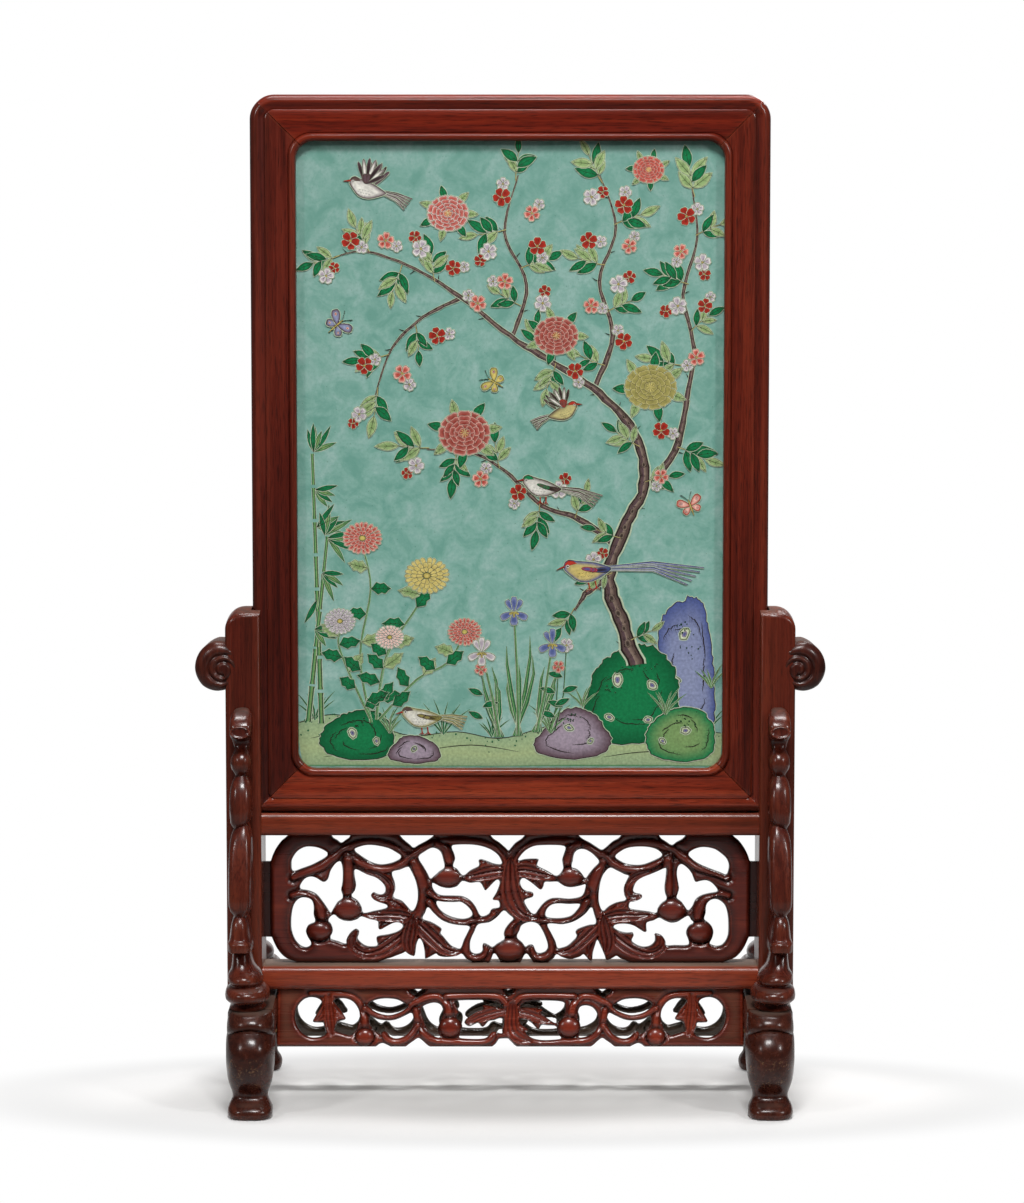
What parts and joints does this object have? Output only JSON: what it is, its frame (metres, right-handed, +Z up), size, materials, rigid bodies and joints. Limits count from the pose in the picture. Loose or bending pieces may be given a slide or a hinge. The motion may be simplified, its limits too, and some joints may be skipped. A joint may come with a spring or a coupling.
{
  "type": "table screen",
  "caption": "Chinese table screen: a porcelain plaque in a moulded hardwood frame that lifts out of a carved openwork stand on sledge feet.",
  "frame": {"origin": "middle of the footprint, on the floor", "axes": "+X to the viewer's right across the front, +Y to the back, +Z up; the painted face looks towards -Y"},
  "size_m": [0.469, 0.195, 0.7458],
  "materials": {
    "hongmu": "polished",
    "dark_hongmu": "polished",
    "dowel_wood": "sawn",
    "board_wood": "planed",
    "enamelled_porcelain": "gloss",
    "bamboo": "split"
  },
  "bodies": {
    "stand": {"left_foot": "dark_hongmu", "right_foot": "dark_hongmu", "left_volute": "dark_hongmu", "right_volute": "dark_hongmu", "front_left_spandrel": "dark_hongmu", "front_right_spandrel": "dark_hongmu", "rear_left_spandrel": "dark_hongmu", "rear_right_spandrel": "dark_hongmu", "left_post": "hongmu", "right_post": "hongmu", "upper_rail": "hongmu", "middle_rail": "hongmu", "waist_panel": "hongmu", "front_apron": "hongmu", "rear_apron": "hongmu", "spandrel_dowels": "dowel_wood", "volute_dowels": "dowel_wood", "apron_dowels": "dowel_wood"},
    "screen_panel": {"frame_left_stile": "hongmu", "frame_right_stile": "hongmu", "frame_top_rail": "hongmu", "frame_bottom_rail": "hongmu", "porcelain_plaque": "enamelled_porcelain", "back_board": "board_wood", "upper_batten": "hongmu", "lower_batten": "hongmu", "back_slip_left": "hongmu", "back_slip_right": "hongmu", "back_slip_top": "hongmu", "back_slip_bottom": "hongmu", "slip_pins": "bamboo"}
  },
  "joints": [
    {"name": "panel_lift", "type": "slide", "parent": "stand", "child": "screen_panel", "axis": [0, 0, 1], "range_m": [0, 0.18]}
  ]
}
